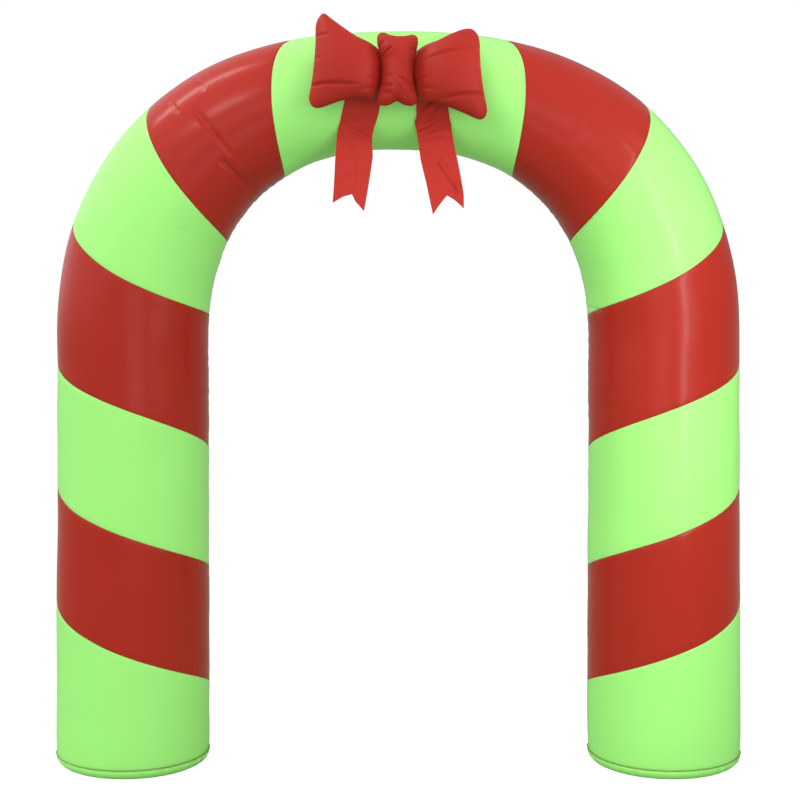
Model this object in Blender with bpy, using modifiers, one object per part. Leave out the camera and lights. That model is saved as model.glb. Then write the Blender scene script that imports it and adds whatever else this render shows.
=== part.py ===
"""An inflatable walk-through arch: a striped tube that rises on two legs and bends over a rounded
head, closed underneath by two puffed feet, with an inflated ribbon bow on the front of its crown.

Metres, +Z up, front towards -Y. The origin is on the floor, in the middle of the arch's footprint.
"""

import math

import bmesh
import bpy
import numpy as np
from mathutils import Vector

# The tube. Distances along it are measured from the seam round a foot.
FOOT_HEIGHT = 0.036  # seam round a foot, above the floor
HALF_SPAN = 0.886  # middle of the arch to the tube's centre, where the head springs
LEG_RISE = 1.371  # foot seam to the springing of the head
HEAD_RISE = 0.849  # springing to the tube's centre at the crown
HEAD_SQUARENESS = 2.32  # exponent of the head's curve, where 2 is an ellipse
LEG_RADIUS = 0.250  # tube at the springing
CROWN_RADIUS = 0.1915
TAPER_POWER = 3.05  # the taper to the crown comes late in the head
LEG_SPLAY = 0.0149  # how far a leg's centre leans out for each metre down
LEG_FLARE = 0.0075  # how much its radius grows for each metre down
SPLAY_EASE = 0.12  # drop over which the lean and the flare begin
LEVEL_HEIGHT = 0.15  # rings turn level over this height above the foot seam
FOOT_DRAW_IN = 0.0028  # the leg narrows this much into the foot seam
FOOT_DRAW_HEIGHT = 0.07
SEAM_GAP = 0.0003  # between neighbouring pieces
ROUND_STEPS = 36
ROW_PITCH = 0.07

# Seams between the colour bands of one side, from the foot up: distance along the tube on its
# outer line, fall from there to the inner line, and how far the slant bows upwards at the front.
SEAMS = (
    # name, outer, fall, bow
    ("foot", 0.000, 0.000, 0.000),
    ("first", 0.534, 0.292, -0.003),
    ("second", 0.924, 0.283, -0.002),
    ("third", 1.334, 0.288, 0.004),
    ("fourth", 1.730, 0.222, -0.012),
    ("fifth", 2.076, 0.214, -0.001),
    ("sixth", 2.473, 0.184, -0.018),
)
SIDE_BANDS = (
    # name, colour, each between a seam above and the one before it
    ("lower_green_band", "green"),
    ("lower_red_band", "red"),
    ("middle_green_band", "green"),
    ("middle_red_band", "red"),
    ("shoulder_green_band", "green"),
    ("shoulder_red_band", "red"),
)
CROWN_BAND = ("crown_green_band", "green")

# A foot is a puffed round panel: radius short of the seam's, and height, down to its flat underside.
FOOT_PROFILE = (
    # inwards, height
    (0.0010, 0.0357),
    (-0.0005, 0.0300),
    (0.0005, 0.0215),
    (0.0070, 0.0105),
    (0.0180, 0.0035),
    (0.0340, 0.0000),
)

# The bow, in its own frame: X to the right, Z up the bow, front towards -Y, origin at the neck.
BOW_TILT = math.radians(16)  # leans back with the front of the tube it lies on
BOW_REACH = 0.2112  # tube's centre at the crown to the bow's middle plane at the neck
LOOP_SWING = 0.045  # loops swing forwards from that plane
SWING_FROM = 0.050  # beginning this far out
SWING_SPAN = 0.070  # and done over this distance
LOOP_STEPS = 32
LOOP_RIBS_PER_ROW = 2
PILLOW_POWER = 0.8  # below 1 gives a fuller pillow section than an ellipse
EDGE_WAIST = 0.006  # a loop's outer edge draws in between its corners
NECK_GAP = 0.00015  # from the middle to each loop's neck

# Ribs of each loop from the neck to its outer edge: the rib's top and bottom points, and how far
# the pillow swells in front of and behind the middle plane.
LEFT_LOOP = (
    # top_out, top, bottom_out, bottom, front, back
    (0.000, 0.045, 0.000, -0.045, 0.0192, 0.0150),
    (0.047, 0.048, 0.047, -0.052, 0.0190, 0.0150),
    (0.053, 0.052, 0.053, -0.062, 0.0213, 0.0172),
    (0.062, 0.060, 0.062, -0.086, 0.0295, 0.0214),
    (0.085, 0.070, 0.085, -0.110, 0.0470, 0.0350),
    (0.131, 0.088, 0.128, -0.113, 0.0640, 0.0552),
    (0.175, 0.118, 0.180, -0.122, 0.0680, 0.0588),
    (0.210, 0.146, 0.222, -0.138, 0.0620, 0.0520),
    (0.236, 0.165, 0.250, -0.147, 0.0480, 0.0420),
    (0.252, 0.151, 0.270, -0.142, 0.0300, 0.0270),
    (0.262, 0.122, 0.281, -0.118, 0.0000, 0.0000),
)
RIGHT_LOOP = (
    # top_out, top, bottom_out, bottom, front, back
    (0.000, 0.045, 0.000, -0.045, 0.0192, 0.0150),
    (0.043, 0.046, 0.043, -0.056, 0.0192, 0.0150),
    (0.050, 0.050, 0.050, -0.070, 0.0250, 0.0170),
    (0.058, 0.056, 0.060, -0.098, 0.0340, 0.0200),
    (0.080, 0.064, 0.082, -0.118, 0.0480, 0.0320),
    (0.119, 0.073, 0.125, -0.131, 0.0640, 0.0500),
    (0.160, 0.093, 0.168, -0.147, 0.0680, 0.0560),
    (0.200, 0.110, 0.215, -0.168, 0.0620, 0.0520),
    (0.230, 0.113, 0.250, -0.184, 0.0480, 0.0420),
    (0.248, 0.097, 0.268, -0.180, 0.0300, 0.0270),
    (0.257, 0.066, 0.277, -0.152, 0.0000, 0.0000),
)

# Creases pressed into the front of a loop: where each starts and ends, as a share of the way out
# from the neck and up the rib, with its depth and half-width.
LOOP_CREASES = (
    # side, out_from, up_from, out_to, up_to, depth, width
    ("left", 1.00, 0.25, 0.42, 0.26, 0.007, 0.045),
    ("left", 1.00, 0.80, 0.82, 0.76, 0.004, 0.040),
    ("right", 1.00, 0.85, 0.25, 0.69, 0.006, 0.045),
    ("right", 1.00, 0.34, 0.30, 0.08, 0.007, 0.045),
)

# Rows of the knot from bottom to top: height, left and right edges, flat back in front of the
# bow's middle plane, swell in front of that, and how far the row's middle dips to the waist.
KNOT_STEPS = 28
KNOT_POWER = 0.62
KNOT_ROWS = (
    # height, left, right, back, front, dip
    (-0.137, -0.058, 0.050, 0.0330, 0.0000, -0.019),
    (-0.129, -0.067, 0.059, 0.0320, 0.0220, -0.016),
    (-0.110, -0.068, 0.060, 0.0310, 0.0400, -0.010),
    (-0.080, -0.060, 0.053, 0.0280, 0.0510, -0.003),
    (-0.045, -0.0545, 0.0485, 0.0240, 0.0525, 0.000),
    (0.000, -0.054, 0.0485, 0.0236, 0.0519, 0.000),
    (0.048, -0.0615, 0.057, 0.0255, 0.0525, 0.003),
    (0.073, -0.068, 0.062, 0.0290, 0.0420, 0.006),
    (0.093, -0.067, 0.061, 0.0320, 0.0240, 0.008),
    (0.103, -0.057, 0.050, 0.0330, 0.0000, 0.010),
)

# The tails: two ribbons that come out from under the loops, lie on the front of the crown and
# then hang free. Distance down the ribbon from its top, and the left and right edges there.
TAIL_THICKNESS = 0.002
TAIL_LIFT = 0.0008  # off the tube's skin
TAIL_TOP = math.radians(82)  # round the tube from its outer line
TAIL_LEAVES = math.radians(122)  # where a ribbon leaves the tube
TAIL_BEND = 0.055  # length over which it turns from there to hang
TAIL_FLARE = math.radians(13)  # a stiff ribbon hangs with its end this far forwards
TAIL_BEND_STEPS = 12
TAIL_COLUMNS = 8
TAIL_ROW_PITCH = 0.0125
TAIL_CUT_ROWS = 4  # rows that follow the shaped end
TAIL_CURL = 0.005  # the free length hangs in a shallow trough
CURL_FROM = 0.17  # which starts this far down
CURL_SPAN = 0.10  # and is full after this much more
LEFT_TAIL = (
    # down, left, right
    (0.000, -0.160, -0.042),
    (0.070, -0.174, -0.057),
    (0.113, -0.184, -0.064),
    (0.137, -0.190, -0.071),
    (0.165, -0.197, -0.080),
    (0.190, -0.199, -0.085),
    (0.250, -0.203, -0.082),
    (0.300, -0.205, -0.089),
    (0.350, -0.208, -0.097),
    (0.423, -0.213, -0.110),
)
RIGHT_TAIL = (
    # down, left, right
    (0.000, 0.042, 0.140),
    (0.070, 0.056, 0.157),
    (0.125, 0.058, 0.165),
    (0.140, 0.051, 0.169),
    (0.165, 0.057, 0.172),
    (0.205, 0.063, 0.179),
    (0.263, 0.071, 0.192),
    (0.300, 0.080, 0.199),
    (0.336, 0.089, 0.205),
    (0.360, 0.094, 0.209),
    (0.434, 0.110, 0.208),
)
# Lengths of the swallow-tail end: at the left corner, in the notch and at the right corner, with
# the notch's place across the ribbon, and where the cut begins to shape the rows.
TAIL_ENDS = {
    # side: left_corner, notch, right_corner, notch_across, cut_from
    "left": (0.383, 0.365, 0.423, 0.55, 0.335),
    "right": (0.434, 0.373, 0.401, 0.53, 0.340),
}
# Folds raised along straight lines on a ribbon: where each starts and ends, as a share across and
# a distance down, with its height (a trough is negative) and half-width.
TAIL_FOLDS = (
    # side, across_from, down_from, across_to, down_to, height, width
    ("left", 0.45, 0.158, 1.00, 0.172, 0.0040, 0.008),
    ("left", 0.35, 0.176, 1.00, 0.190, 0.0035, 0.008),
    ("left", 0.45, 0.230, 0.62, 0.360, 0.0030, 0.014),
    ("right", 0.00, 0.128, 0.45, 0.085, 0.0040, 0.009),
    ("right", 0.00, 0.168, 1.00, 0.148, 0.0045, 0.009),
    ("right", 0.10, 0.186, 0.90, 0.168, 0.0030, 0.008),
    ("right", 0.50, 0.275, 0.80, 0.365, 0.0055, 0.010),
)

# Colours, linear, with roughness
FINISHES = {
    "green": ((0.33, 0.83, 0.21), 0.42),
    "red": ((0.47, 0.022, 0.016), 0.38),
}
SMOOTH_ANGLE = math.radians(50)


def clear_scene():
    for thing in list(bpy.data.objects):
        bpy.data.objects.remove(thing, do_unlink=True)


def make_finish(colour):
    base, roughness = FINISHES[colour]
    finish = bpy.data.materials.new(colour + "_fabric")
    finish.use_nodes = True
    shader = finish.node_tree.nodes["Principled BSDF"]
    shader.inputs["Base Color"].default_value = (*base, 1)
    shader.inputs["Roughness"].default_value = roughness
    shader.inputs["Metallic"].default_value = 0
    finish.diffuse_color = (*base, 1)
    return finish


def add_object(name, mesh, colour, parent):
    """Puts a finished mesh in the arch's collection, under an empty."""
    mesh.materials.append(finishes[colour])
    mesh.shade_smooth()
    mesh.set_sharp_from_angle(angle=SMOOTH_ANGLE)
    piece = bpy.data.objects.new(name, mesh)
    arch_parts.objects.link(piece)
    piece.parent = parent
    return piece


def add_empty(name, parent=None):
    empty = bpy.data.objects.new(name, None)
    arch_parts.objects.link(empty)
    empty.parent = parent
    return empty


def ease(share):
    share = min(1.0, max(0.0, share))
    return share * share * (3 - 2 * share)


# --- The tube's shape


def leg_lean(drop):
    """A length that grows like the drop below the springing, but starts gradually."""
    whole = math.hypot(LEG_RISE, SPLAY_EASE) - SPLAY_EASE
    return (math.hypot(drop, SPLAY_EASE) - SPLAY_EASE) / whole * LEG_RISE


def trace_half():
    """Rows of (distance, x, z, radius) up one leg and over the head to the crown."""
    rows = []
    leg_steps, head_steps = 70, 120
    for step in range(leg_steps):
        height = LEG_RISE * step / leg_steps
        lean = leg_lean(LEG_RISE - height)
        draw = FOOT_DRAW_IN * max(0.0, 1 - height / FOOT_DRAW_HEIGHT)
        rows.append((HALF_SPAN + LEG_SPLAY * lean, height, LEG_RADIUS + LEG_FLARE * lean - draw))
    for step in range(head_steps + 1):
        turn = math.pi / 2 * step / head_steps
        across = (math.cos(turn) / HALF_SPAN) ** HEAD_SQUARENESS
        up = (math.sin(turn) / HEAD_RISE) ** HEAD_SQUARENESS
        reach = (across + up) ** (-1 / HEAD_SQUARENESS)
        taper = (LEG_RADIUS - CROWN_RADIUS) * (1 - math.sin(turn) ** TAPER_POWER)
        height = LEG_RISE + reach * math.sin(turn)
        rows.append((reach * math.cos(turn), height, CROWN_RADIUS + taper))
    x, z, radius = np.array(rows).T
    distance = np.concatenate([[0], np.cumsum(np.hypot(np.diff(x), np.diff(z)))])
    along_x = np.gradient(x, distance)
    along_z = np.gradient(z, distance)
    length = np.hypot(along_x, along_z)
    out_x = along_z / length
    out_z = -along_x / length * np.clip(distance / LEVEL_HEIGHT, 0, 1)
    return distance, np.array([x, z, radius, out_x, out_z])


def skin(station, around, lift=0.0):
    """Point on the tube: station runs from the left foot seam over the crown to the right one, and
    around is 0 on the outer line, a quarter turn at the front and a half turn on the inner line."""
    side = -1
    if station > half_length:
        station = 2 * half_length - station
        side = 1
    x, z, radius, out_x, out_z = (np.interp(station, half_distance, row) for row in half_rows)
    radius += lift
    return Vector(
        (
            side * (x + radius * math.cos(around) * out_x),
            -radius * math.sin(around),
            FOOT_HEIGHT + z + radius * math.cos(around) * out_z,
        )
    )


def skin_at(across, around, lift):
    """Point on the tube near the crown, at this distance to the right of the middle."""
    station = half_length + across
    for _ in range(4):
        station += across - skin(station, around, lift).x
    return skin(station, around, lift)


def seam_station(seam, around):
    """Station of a left seam at this angle round the tube: the slant is the same at the back."""
    name, outer, fall, bow = seam
    turn = min(around, 2 * math.pi - around)
    return outer - fall * turn / math.pi + bow * math.sin(turn)


def loft(name, rings, start_cap=True, end_cap=True):
    """Closed skin over a row of rings with the same number of points. A ring that has shrunk to a
    line closes its end by itself."""
    made = bmesh.new()
    rows = [[made.verts.new(point) for point in ring] for ring in rings]
    for below, above in zip(rows, rows[1:]):
        for i in range(len(below)):
            j = (i + 1) % len(below)
            made.faces.new((below[i], below[j], above[j], above[i]))
    for row, wanted in ((rows[0], start_cap), (rows[-1], end_cap)):
        if not wanted:
            continue
        middle = made.verts.new(sum((vertex.co for vertex in row), Vector()) / len(row))
        for i in range(len(row)):
            made.faces.new((row[i], row[(i + 1) % len(row)], middle))
    bmesh.ops.remove_doubles(made, verts=made.verts, dist=1e-6)
    bmesh.ops.dissolve_degenerate(made, edges=made.edges, dist=1e-7)
    bmesh.ops.recalc_face_normals(made, faces=made.faces)
    mesh = bpy.data.meshes.new(name)
    made.to_mesh(mesh)
    made.free()
    return mesh


def add_band(name, colour, start, end, parent):
    """One fabric ring of the tube; start and end give its seams' stations at an angle."""
    turns = [2 * math.pi * step / ROUND_STEPS for step in range(ROUND_STEPS)]
    lengths = [end(turn) - start(turn) for turn in turns]
    rows = max(2, round(sum(lengths) / len(lengths) / ROW_PITCH))
    rings = []
    for row in range(rows + 1):
        share = row / rows
        inset = SEAM_GAP * (0.5 - share)
        rings.append(
            [skin(start(t) * (1 - share) + end(t) * share + inset, t) for t in turns]
        )
    return add_object(name, loft(name, rings), colour, parent)


def add_tube(parent):
    """The bands of both sides, mirrored, and the one over the crown."""
    whole = 2 * half_length
    for (name, colour), below, above in zip(SIDE_BANDS, SEAMS, SEAMS[1:]):
        add_band(
            "left_" + name,
            colour,
            lambda t, seam=below: seam_station(seam, t),
            lambda t, seam=above: seam_station(seam, t),
            parent,
        )
        add_band(
            "right_" + name,
            colour,
            lambda t, seam=above: whole - seam_station(seam, t),
            lambda t, seam=below: whole - seam_station(seam, t),
            parent,
        )
    name, colour = CROWN_BAND
    top = SEAMS[-1]
    add_band(
        name, colour, lambda t: seam_station(top, t), lambda t: whole - seam_station(top, t), parent
    )


def add_foot(name, side, parent):
    """A puffed panel turned about the leg's centre, from its seam to its flat underside."""
    x, _, radius, _, _ = (row[0] for row in half_rows)
    profile = [(0.0, FOOT_PROFILE[0][1])]
    profile += [(radius - inwards, height) for inwards, height in FOOT_PROFILE]
    profile += [(0.0, 0.0)]
    mesh = bpy.data.meshes.new(name)
    edges = [(i, i + 1) for i in range(len(profile) - 1)]
    mesh.from_pydata([(r, 0, h) for r, h in profile], edges, [])
    foot = add_object(name, mesh, "green", parent)
    foot.location.x = side * x
    turned = foot.modifiers.new("turned", "SCREW")
    turned.axis = "Z"
    turned.steps = ROUND_STEPS
    turned.render_steps = ROUND_STEPS
    turned.use_merge_vertices = True
    turned.merge_threshold = 1e-5
    turned.use_smooth_shade = True
    return foot


# --- The bow's shape


def refine(table, steps):
    """The table's rows with smooth rows between them, as a Catmull-Rom curve through each column."""
    rows = [np.array(row) for row in table]
    finer = []
    for i in range(len(rows) - 1):
        before = rows[max(i - 1, 0)]
        after = rows[min(i + 2, len(rows) - 1)]
        for step in range(steps):
            t = step / steps
            finer.append(
                rows[i]
                + 0.5
                * t
                * (
                    rows[i + 1]
                    - before
                    + t
                    * (
                        2 * before
                        - 5 * rows[i]
                        + 4 * rows[i + 1]
                        - after
                        + t * (3 * (rows[i] - rows[i + 1]) + after - before)
                    )
                )
            )
    return finer + [rows[-1]]


def ridge(place, start, end, width):
    """1 on the line from start to end, falling smoothly to 0 away from it, in two dimensions."""
    line = end - start
    share = min(1.0, max(0.0, (place - start).dot(line) / line.length_squared))
    away = (place - start - line * share).length
    return math.exp(-((away / width) ** 2))


def loop_ring(side, row, out_share):
    """Closed section of a loop along one rib, from its bottom round the front to its top and back."""
    top_out, top, bottom_out, bottom, front, back = row
    sign = -1 if side == "left" else 1
    ring = []
    for step in range(LOOP_STEPS):
        turn = 2 * math.pi * step / LOOP_STEPS
        up = 0.5 - 0.5 * math.cos(turn)
        swell = abs(math.sin(turn)) ** PILLOW_POWER
        out = bottom_out + (top_out - bottom_out) * up
        out -= EDGE_WAIST * 4 * up * (1 - up) * out_share**2
        middle = -LOOP_SWING * ease((out - SWING_FROM) / SWING_SPAN)
        depth = middle - front * swell if turn <= math.pi else middle + back * swell
        if turn < math.pi and front > 0:
            for name, out_from, up_from, out_to, up_to, deep, width in LOOP_CREASES:
                if name == side:
                    place = Vector((out_share, up))
                    start, end = Vector((out_from, up_from)), Vector((out_to, up_to))
                    depth += deep * swell * ridge(place, start, end, width)
        ring.append(Vector((sign * (out + NECK_GAP), depth, bottom + (top - bottom) * up)))
    return ring


def add_loop(side, table, parent):
    widest = max(row[0] for row in table)
    rings = []
    for row in refine(table, LOOP_RIBS_PER_ROW):
        row[4:] = np.maximum(row[4:], 0)  # the smooth curve may swing a swell below nothing
        rings.append(loop_ring(side, row, row[0] / widest))
    name = side + "_bow_loop"
    return add_object(name, loft(name, rings, end_cap=False), "red", parent)


def add_knot(parent):
    """The puffed knot: a flat back against the loops' necks, eared at top and bottom."""
    rings = []
    for height, left, right, back, front, dip in refine(KNOT_ROWS, 2):
        ring = []
        for step in range(KNOT_STEPS):
            turn = 2 * math.pi * step / KNOT_STEPS
            across = 0.5 - 0.5 * math.cos(turn)
            bulge = max(0.0, math.sin(turn)) ** KNOT_POWER * max(0.0, front)
            x = left + (right - left) * across
            ring.append(Vector((x, -back - bulge, height - dip * 4 * across * (1 - across))))
        rings.append(ring)
    name = "bow_knot"
    mesh = loft(name, rings, start_cap=False, end_cap=False)
    return add_object(name, mesh, "red", parent)


def ribbon_point(across, down):
    """Point under a ribbon, this far right of the middle and this far down from its top."""
    radius = CROWN_RADIUS + TAIL_LIFT
    on_tube = radius * (TAIL_LEAVES - TAIL_TOP)
    if down <= on_tube:
        return skin_at(across, TAIL_TOP + down / radius, TAIL_LIFT)
    point = skin_at(across, TAIL_LEAVES, TAIL_LIFT)
    slope = TAIL_LEAVES - math.pi / 2
    bend = min(down - on_tube, TAIL_BEND)
    for step in range(TAIL_BEND_STEPS):
        share = (step + 0.5) / TAIL_BEND_STEPS * bend / TAIL_BEND
        lean = slope * (1 - share) - TAIL_FLARE * share
        point += Vector((0, math.sin(lean), -math.cos(lean))) * bend / TAIL_BEND_STEPS
    drop = down - on_tube - bend
    point += Vector((0, -math.tan(TAIL_FLARE), -1)) * drop
    return point


def fold_height(side, across, down, width):
    """How far a ribbon is raised at this place, with its lines measured in metres."""
    height = 0.0
    for name, across_from, down_from, across_to, down_to, raised, half in TAIL_FOLDS:
        if name == side:
            start = Vector((across_from * width, down_from))
            end = Vector((across_to * width, down_to))
            height += raised * ridge(Vector((across * width, down)), start, end, half)
    return height


def tail_point(side, table, across, down):
    """Point of a ribbon's underside, folds and curl included."""
    downs, lefts, rights = np.array(table).T
    left = float(np.interp(down, downs, lefts))
    right = float(np.interp(down, downs, rights))
    point = ribbon_point(left + (right - left) * across, down)
    free = ease((down - CURL_FROM) / CURL_SPAN)
    curl = TAIL_CURL * free * (2 * across - 1) ** 2
    point.y -= fold_height(side, across, down, right - left) + curl
    return point


def add_tail(side, table, parent):
    """A ribbon as one sheet: even rows to where the cut begins, then rows that follow the cut."""
    left_end, notch_end, right_end, notch_across, cut_from = TAIL_ENDS[side]
    even_rows = round(cut_from / TAIL_ROW_PITCH)
    grid = bmesh.new()
    sheet = []
    for row in range(even_rows + TAIL_CUT_ROWS + 1):
        points = []
        for column in range(TAIL_COLUMNS + 1):
            across = column / TAIL_COLUMNS
            across += (notch_across - 0.5) * 4 * across * (1 - across)
            end = float(np.interp(across, (0, notch_across, 1), (left_end, notch_end, right_end)))
            if row <= even_rows:
                down = cut_from * row / even_rows
            else:
                down = cut_from + (end - cut_from) * (row - even_rows) / TAIL_CUT_ROWS
            points.append(grid.verts.new(tail_point(side, table, across, down)))
        sheet.append(points)
    for upper, lower in zip(sheet, sheet[1:]):
        for i in range(TAIL_COLUMNS):
            grid.faces.new((upper[i], lower[i], lower[i + 1], upper[i + 1]))
    name = side + "_bow_tail"
    mesh = bpy.data.meshes.new(name)
    grid.to_mesh(mesh)
    grid.free()
    tail = add_object(name, mesh, "red", parent)
    thickness = tail.modifiers.new("thickness", "SOLIDIFY")
    thickness.thickness = TAIL_THICKNESS
    thickness.offset = 1
    return tail


def add_bow(parent):
    crown = FOOT_HEIGHT + LEG_RISE + HEAD_RISE
    bow = add_empty("bow", parent)
    bow.location = (0, -BOW_REACH * math.cos(BOW_TILT), crown + BOW_REACH * math.sin(BOW_TILT))
    bow.rotation_euler.x = -BOW_TILT
    add_loop("left", LEFT_LOOP, bow)
    add_loop("right", RIGHT_LOOP, bow)
    add_knot(bow)
    add_tail("left", LEFT_TAIL, parent)
    add_tail("right", RIGHT_TAIL, parent)


def centre_footprint(root):
    """Moves the whole arch along Y until the origin is midway between its front and its back."""
    bpy.context.view_layer.update()
    depths = [
        (piece.matrix_world @ vertex.co).y
        for piece in arch_parts.objects
        if piece.type == "MESH"
        for vertex in piece.data.vertices
    ]
    root.location.y = -(min(depths) + max(depths)) / 2


clear_scene()
arch_parts = bpy.data.collections.new("inflatable_arch")
bpy.context.scene.collection.children.link(arch_parts)
finishes = {colour: make_finish(colour) for colour in FINISHES}
half_distance, half_rows = trace_half()
half_length = float(half_distance[-1])
arch = add_empty("arch")
add_tube(arch)
add_foot("left_foot", -1, arch)
add_foot("right_foot", 1, arch)
add_bow(arch)
centre_footprint(arch)
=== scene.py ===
"""The looks of the inflatable arch: the striped coated fabric of the tube with its sewn seams, the
puffed feet, and the ribbon bow on the crown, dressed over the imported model.

Metres, in the model's own frame: +Z up, the front towards -Y.
"""

import math

import bmesh
import bpy
import numpy as np
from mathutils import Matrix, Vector


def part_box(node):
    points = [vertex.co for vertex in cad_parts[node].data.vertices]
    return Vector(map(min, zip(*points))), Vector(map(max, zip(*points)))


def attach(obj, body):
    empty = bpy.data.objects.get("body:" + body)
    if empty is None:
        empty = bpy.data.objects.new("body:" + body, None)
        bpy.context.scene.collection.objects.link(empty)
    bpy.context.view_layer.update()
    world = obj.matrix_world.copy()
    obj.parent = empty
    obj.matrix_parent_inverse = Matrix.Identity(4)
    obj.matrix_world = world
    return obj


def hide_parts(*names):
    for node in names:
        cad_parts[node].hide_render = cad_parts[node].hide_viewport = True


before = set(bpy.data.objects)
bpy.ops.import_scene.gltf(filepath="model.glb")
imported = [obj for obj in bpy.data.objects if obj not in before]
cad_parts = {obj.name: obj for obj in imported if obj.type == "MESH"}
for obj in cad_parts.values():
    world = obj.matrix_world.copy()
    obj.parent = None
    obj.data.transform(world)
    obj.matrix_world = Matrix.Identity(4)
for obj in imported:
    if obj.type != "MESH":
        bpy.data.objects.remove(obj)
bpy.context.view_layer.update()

foot_low, foot_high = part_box("left_foot")
AXIS_Y = (foot_low.y + foot_high.y) / 2  # the plane of the tube's centreline

# --- The tube's sizes, as in the solids

FOOT_HEIGHT = 0.036  # seam round a foot, above the floor
HALF_SPAN = 0.886
LEG_RISE = 1.371
HEAD_RISE = 0.849
HEAD_SQUARENESS = 2.32
LEG_RADIUS = 0.250
CROWN_RADIUS = 0.1915
TAPER_POWER = 3.05
LEG_SPLAY = 0.0149
LEG_FLARE = 0.0075
SPLAY_EASE = 0.12
LEVEL_HEIGHT = 0.15
FOOT_DRAW_IN = 0.0028
FOOT_DRAW_HEIGHT = 0.07
SEAM_GAP = 0.0003

# Seams between the bands of one side, from the foot up
SEAMS = (
    # outer, fall, bow
    (0.000, 0.000, 0.000),
    (0.534, 0.292, -0.003),
    (0.924, 0.283, -0.002),
    (1.334, 0.288, 0.004),
    (1.730, 0.222, -0.012),
    (2.076, 0.214, -0.001),
    (2.473, 0.184, -0.018),
)
SIDE_BANDS = ("lower_green", "lower_red", "middle_green", "middle_red", "shoulder_green", "shoulder_red")

# --- How the fabric lies

COLUMNS = 288  # round the tube
ROW_PITCH = 0.0085
FINE_BANDS = {"left_shoulder_red": 2}  # times finer, for its creases
SEAM_ROWS = (0.0, 0.0012, 0.0028, 0.0050, 0.0080, 0.0120, 0.0170, 0.0230, 0.0300)  # from a seam
SEAM_DIP = 0.0020  # the fabric is drawn in this deep at a seam
SEAM_SOFT = 0.0055  # and comes back over this distance
TUCK = 0.018  # the seam's allowance, turned inwards to this far below the plain tube
PUCKER_HEIGHT = 0.0006
PUCKER_REACH = 0.028  # from the seam
PUCKER_WAVES = (30, 75)  # to a turn, fewest and most
PUCKER_PATCHES = (3, 9)  # of stronger puckers, to a turn
INNER_GATHERS = (
    # distance from the foot, height of the gathers along the tube's inner line
    (0.0, 0.0002),
    (0.7, 0.0003),
    (1.0, 0.0009),
    (1.5, 0.0007),
    (1.8, 0.0008),
    (2.05, 0.0010),
    (2.25, 0.0008),
    (2.36, 0.0002),
    (2.8, 0.0001),
)
INNER_REACH = 0.42  # radians round from the inner line
INNER_PITCH = 0.030
OTHER_SIDE = 3.0  # sets the right side's gathers apart from the left side's
SWELL_HEIGHT = 0.0012  # broad unevenness of the whole tube
SWELL_PITCH = 0.30

# Creases across the tube, from one place to another: each place as the distance along the tube from
# its foot and the angle round it. The depth and the half-width are in metres.
CREASES = (
    # side, station_from, around_from, station_to, around_to, depth, width
    ("left", 2.152, 0.98, 2.158, 1.42, 0.0045, 0.0080),
    ("left", 2.154, 1.05, 2.168, 2.06, 0.0048, 0.0095),
    ("left", 2.127, 1.82, 2.148, 2.85, 0.0070, 0.0105),
    ("left", 2.208, 0.54, 2.203, 0.90, 0.0025, 0.0066),
    ("left", 2.116, 0.62, 2.112, 0.98, 0.0025, 0.0066),
    ("left", 1.834, 1.98, 1.810, 2.25, 0.0020, 0.0110),
    ("right", 2.177, 1.75, 2.158, 1.18, 0.0030, 0.0100),
    ("right", 1.530, 2.60, 1.545, 3.10, 0.0025, 0.0090),
)

FADE_IN = 0.15  # a crease or fold deepens over this share of its length
FADE_OUT = 0.35  # and runs out over this one
WAVE_RANGE = (0.6, 1.3)  # wave numbers, as shares of the one that a pitch gives
WAVE_PEAK = 1.6  # about how high the sum of many waves rises, over their spread


def ease(share):
    """From 0 to 1 with level ends."""
    share = np.clip(share, 0.0, 1.0)
    return share * share * (3 - 2 * share)


def leg_lean(drop):
    """How far down a leg's slope a point lies, this far below the head; the slope eases in."""
    whole = math.hypot(LEG_RISE, SPLAY_EASE) - SPLAY_EASE
    return (math.hypot(drop, SPLAY_EASE) - SPLAY_EASE) / whole * LEG_RISE


def trace_half():
    """Distance, x, z, radius and outward direction up one leg and over the head to the crown."""
    rows = []
    leg_steps, head_steps = 70, 240
    for step in range(leg_steps):
        height = LEG_RISE * step / leg_steps
        lean = leg_lean(LEG_RISE - height)
        draw = FOOT_DRAW_IN * max(0.0, 1 - height / FOOT_DRAW_HEIGHT)
        rows.append((HALF_SPAN + LEG_SPLAY * lean, height, LEG_RADIUS + LEG_FLARE * lean - draw))
    for step in range(head_steps + 1):
        turn = math.pi / 2 * step / head_steps
        across = (math.cos(turn) / HALF_SPAN) ** HEAD_SQUARENESS
        up = (math.sin(turn) / HEAD_RISE) ** HEAD_SQUARENESS
        reach = (across + up) ** (-1 / HEAD_SQUARENESS)
        taper = (LEG_RADIUS - CROWN_RADIUS) * (1 - math.sin(turn) ** TAPER_POWER)
        rows.append((reach * math.cos(turn), LEG_RISE + reach * math.sin(turn), CROWN_RADIUS + taper))
    x, z, radius = np.array(rows).T
    distance = np.concatenate([[0], np.cumsum(np.hypot(np.diff(x), np.diff(z)))])
    along_x = np.gradient(x, distance)
    along_z = np.gradient(z, distance)
    length = np.hypot(along_x, along_z)
    out_x = along_z / length
    out_z = -along_x / length * np.clip(distance / LEVEL_HEIGHT, 0, 1)
    return distance, np.array([x, z, radius, out_x, out_z])


half_distance, half_rows = trace_half()
HALF_LENGTH = float(half_distance[-1])


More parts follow.
